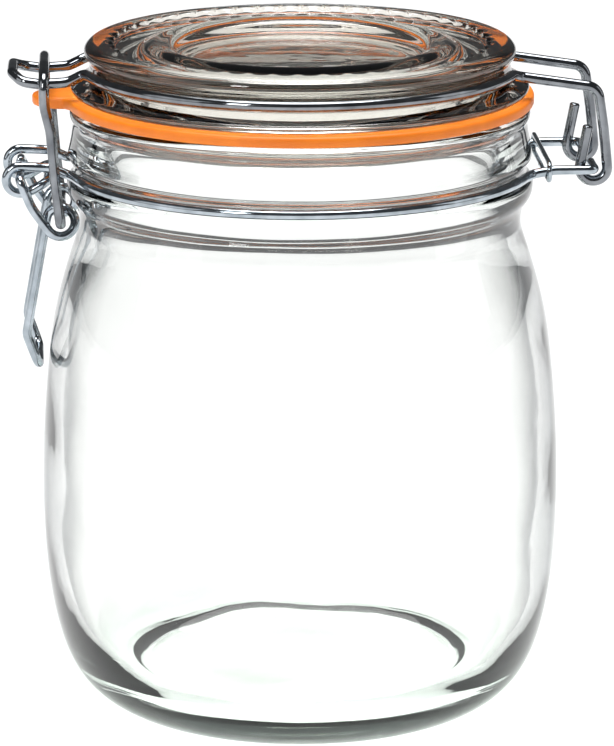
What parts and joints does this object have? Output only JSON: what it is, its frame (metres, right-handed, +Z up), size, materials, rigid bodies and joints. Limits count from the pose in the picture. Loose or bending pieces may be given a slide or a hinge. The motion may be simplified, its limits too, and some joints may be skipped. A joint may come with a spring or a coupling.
{
  "type": "bail clamp jar",
  "caption": "Round glass preserving jar with a hinged glass lid, a rubber gasket and an over-centre wire clamp that pulls the lid shut.",
  "frame": {"origin": "on the jar's axis, on the surface the jar stands on", "axes": "+Z up the jar's axis, +X towards the hinge, -X towards the clasp, so every hinge axis runs along Y"},
  "size_m": [0.1214, 0.1054, 0.1351],
  "materials": {
    "jar_glass": "clear pressed soda-lime glass, polished, faint grey-green at thick edges",
    "lid_glass": "clear pressed glass, polished",
    "gasket_rubber": "smooth matt orange rubber",
    "plated_wire": "bright zinc-plated round steel wire, smooth"
  },
  "bodies": {
    "jar": {"jar_body": "jar_glass", "neck_wire": "plated_wire", "ring_clip": "plated_wire"},
    "lid": {"lid": "lid_glass", "lid_wire": "plated_wire", "gasket": "gasket_rubber"},
    "lever": {"lever": "plated_wire"},
    "bail_link": {"bail_link": "plated_wire"}
  },
  "joints": [
    {"name": "lid_hinge", "type": "hinge", "parent": "jar", "child": "lid", "pos_m": [0.058, 0, 0.1107], "axis": [0, 1, 0], "range_deg": [0, 225]},
    {"name": "lever_pivot", "type": "hinge", "parent": "jar", "child": "lever", "pos_m": [-0.0562, 0, 0.1093], "axis": [0, 1, 0], "range_deg": [0, 80]},
    {"name": "link_pivot", "type": "hinge", "parent": "lever", "child": "bail_link", "pos_m": [-0.0482, 0, 0.1005], "axis": [0, -1, 0], "range_deg": [0, 160]}
  ],
  "couplings": [
    {"joint": "link_pivot", "follows": "lever_pivot", "ratio": 2}
  ]
}
